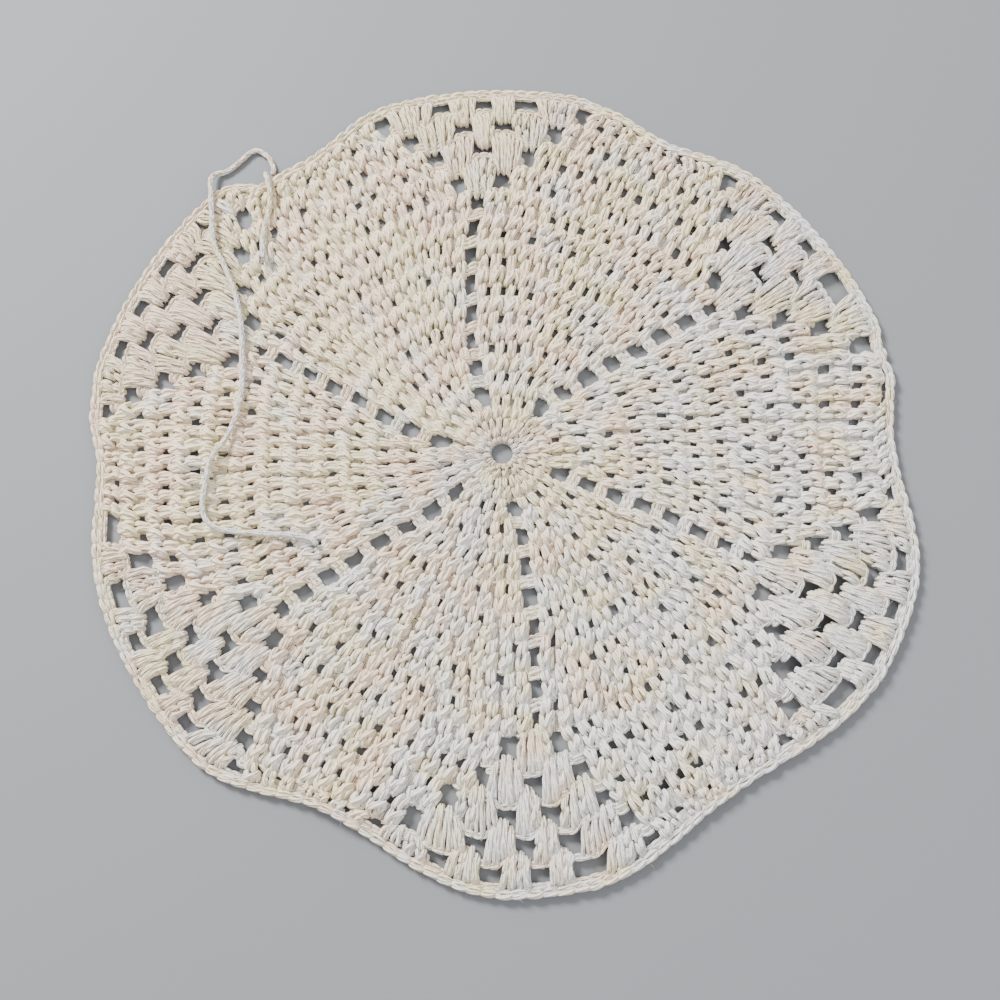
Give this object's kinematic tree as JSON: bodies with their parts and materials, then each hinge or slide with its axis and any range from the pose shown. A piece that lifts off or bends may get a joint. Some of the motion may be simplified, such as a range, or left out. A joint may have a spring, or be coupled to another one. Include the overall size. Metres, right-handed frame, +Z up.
{
  "type": "crocheted lace doily",
  "caption": "Round crocheted cotton doily, worked in rounds from a centre ring, with spokes of gaps that open into fans of shells and an uncut yarn tail lying over it.",
  "frame": {"origin": "middle of the doily's box, on the surface that it lies on; the centre ring lies 1.5 mm to +X and 0.6 mm to +Y of it", "axes": "+Z up out of the doily's face, +Y towards the fan that faces away from the viewer, +X to the viewer's right"},
  "size_m": [0.2467, 0.2524, 0.0066],
  "materials": {
    "cotton_yarn": "matt plied cotton yarn, off-white, mottled warm beige and cool pale grey, a little fuzzy"
  },
  "bodies": {
    "root": {"doily": "cotton_yarn", "yarn_tail": "cotton_yarn", "yarn_end": "cotton_yarn"}
  },
  "joints": []
}
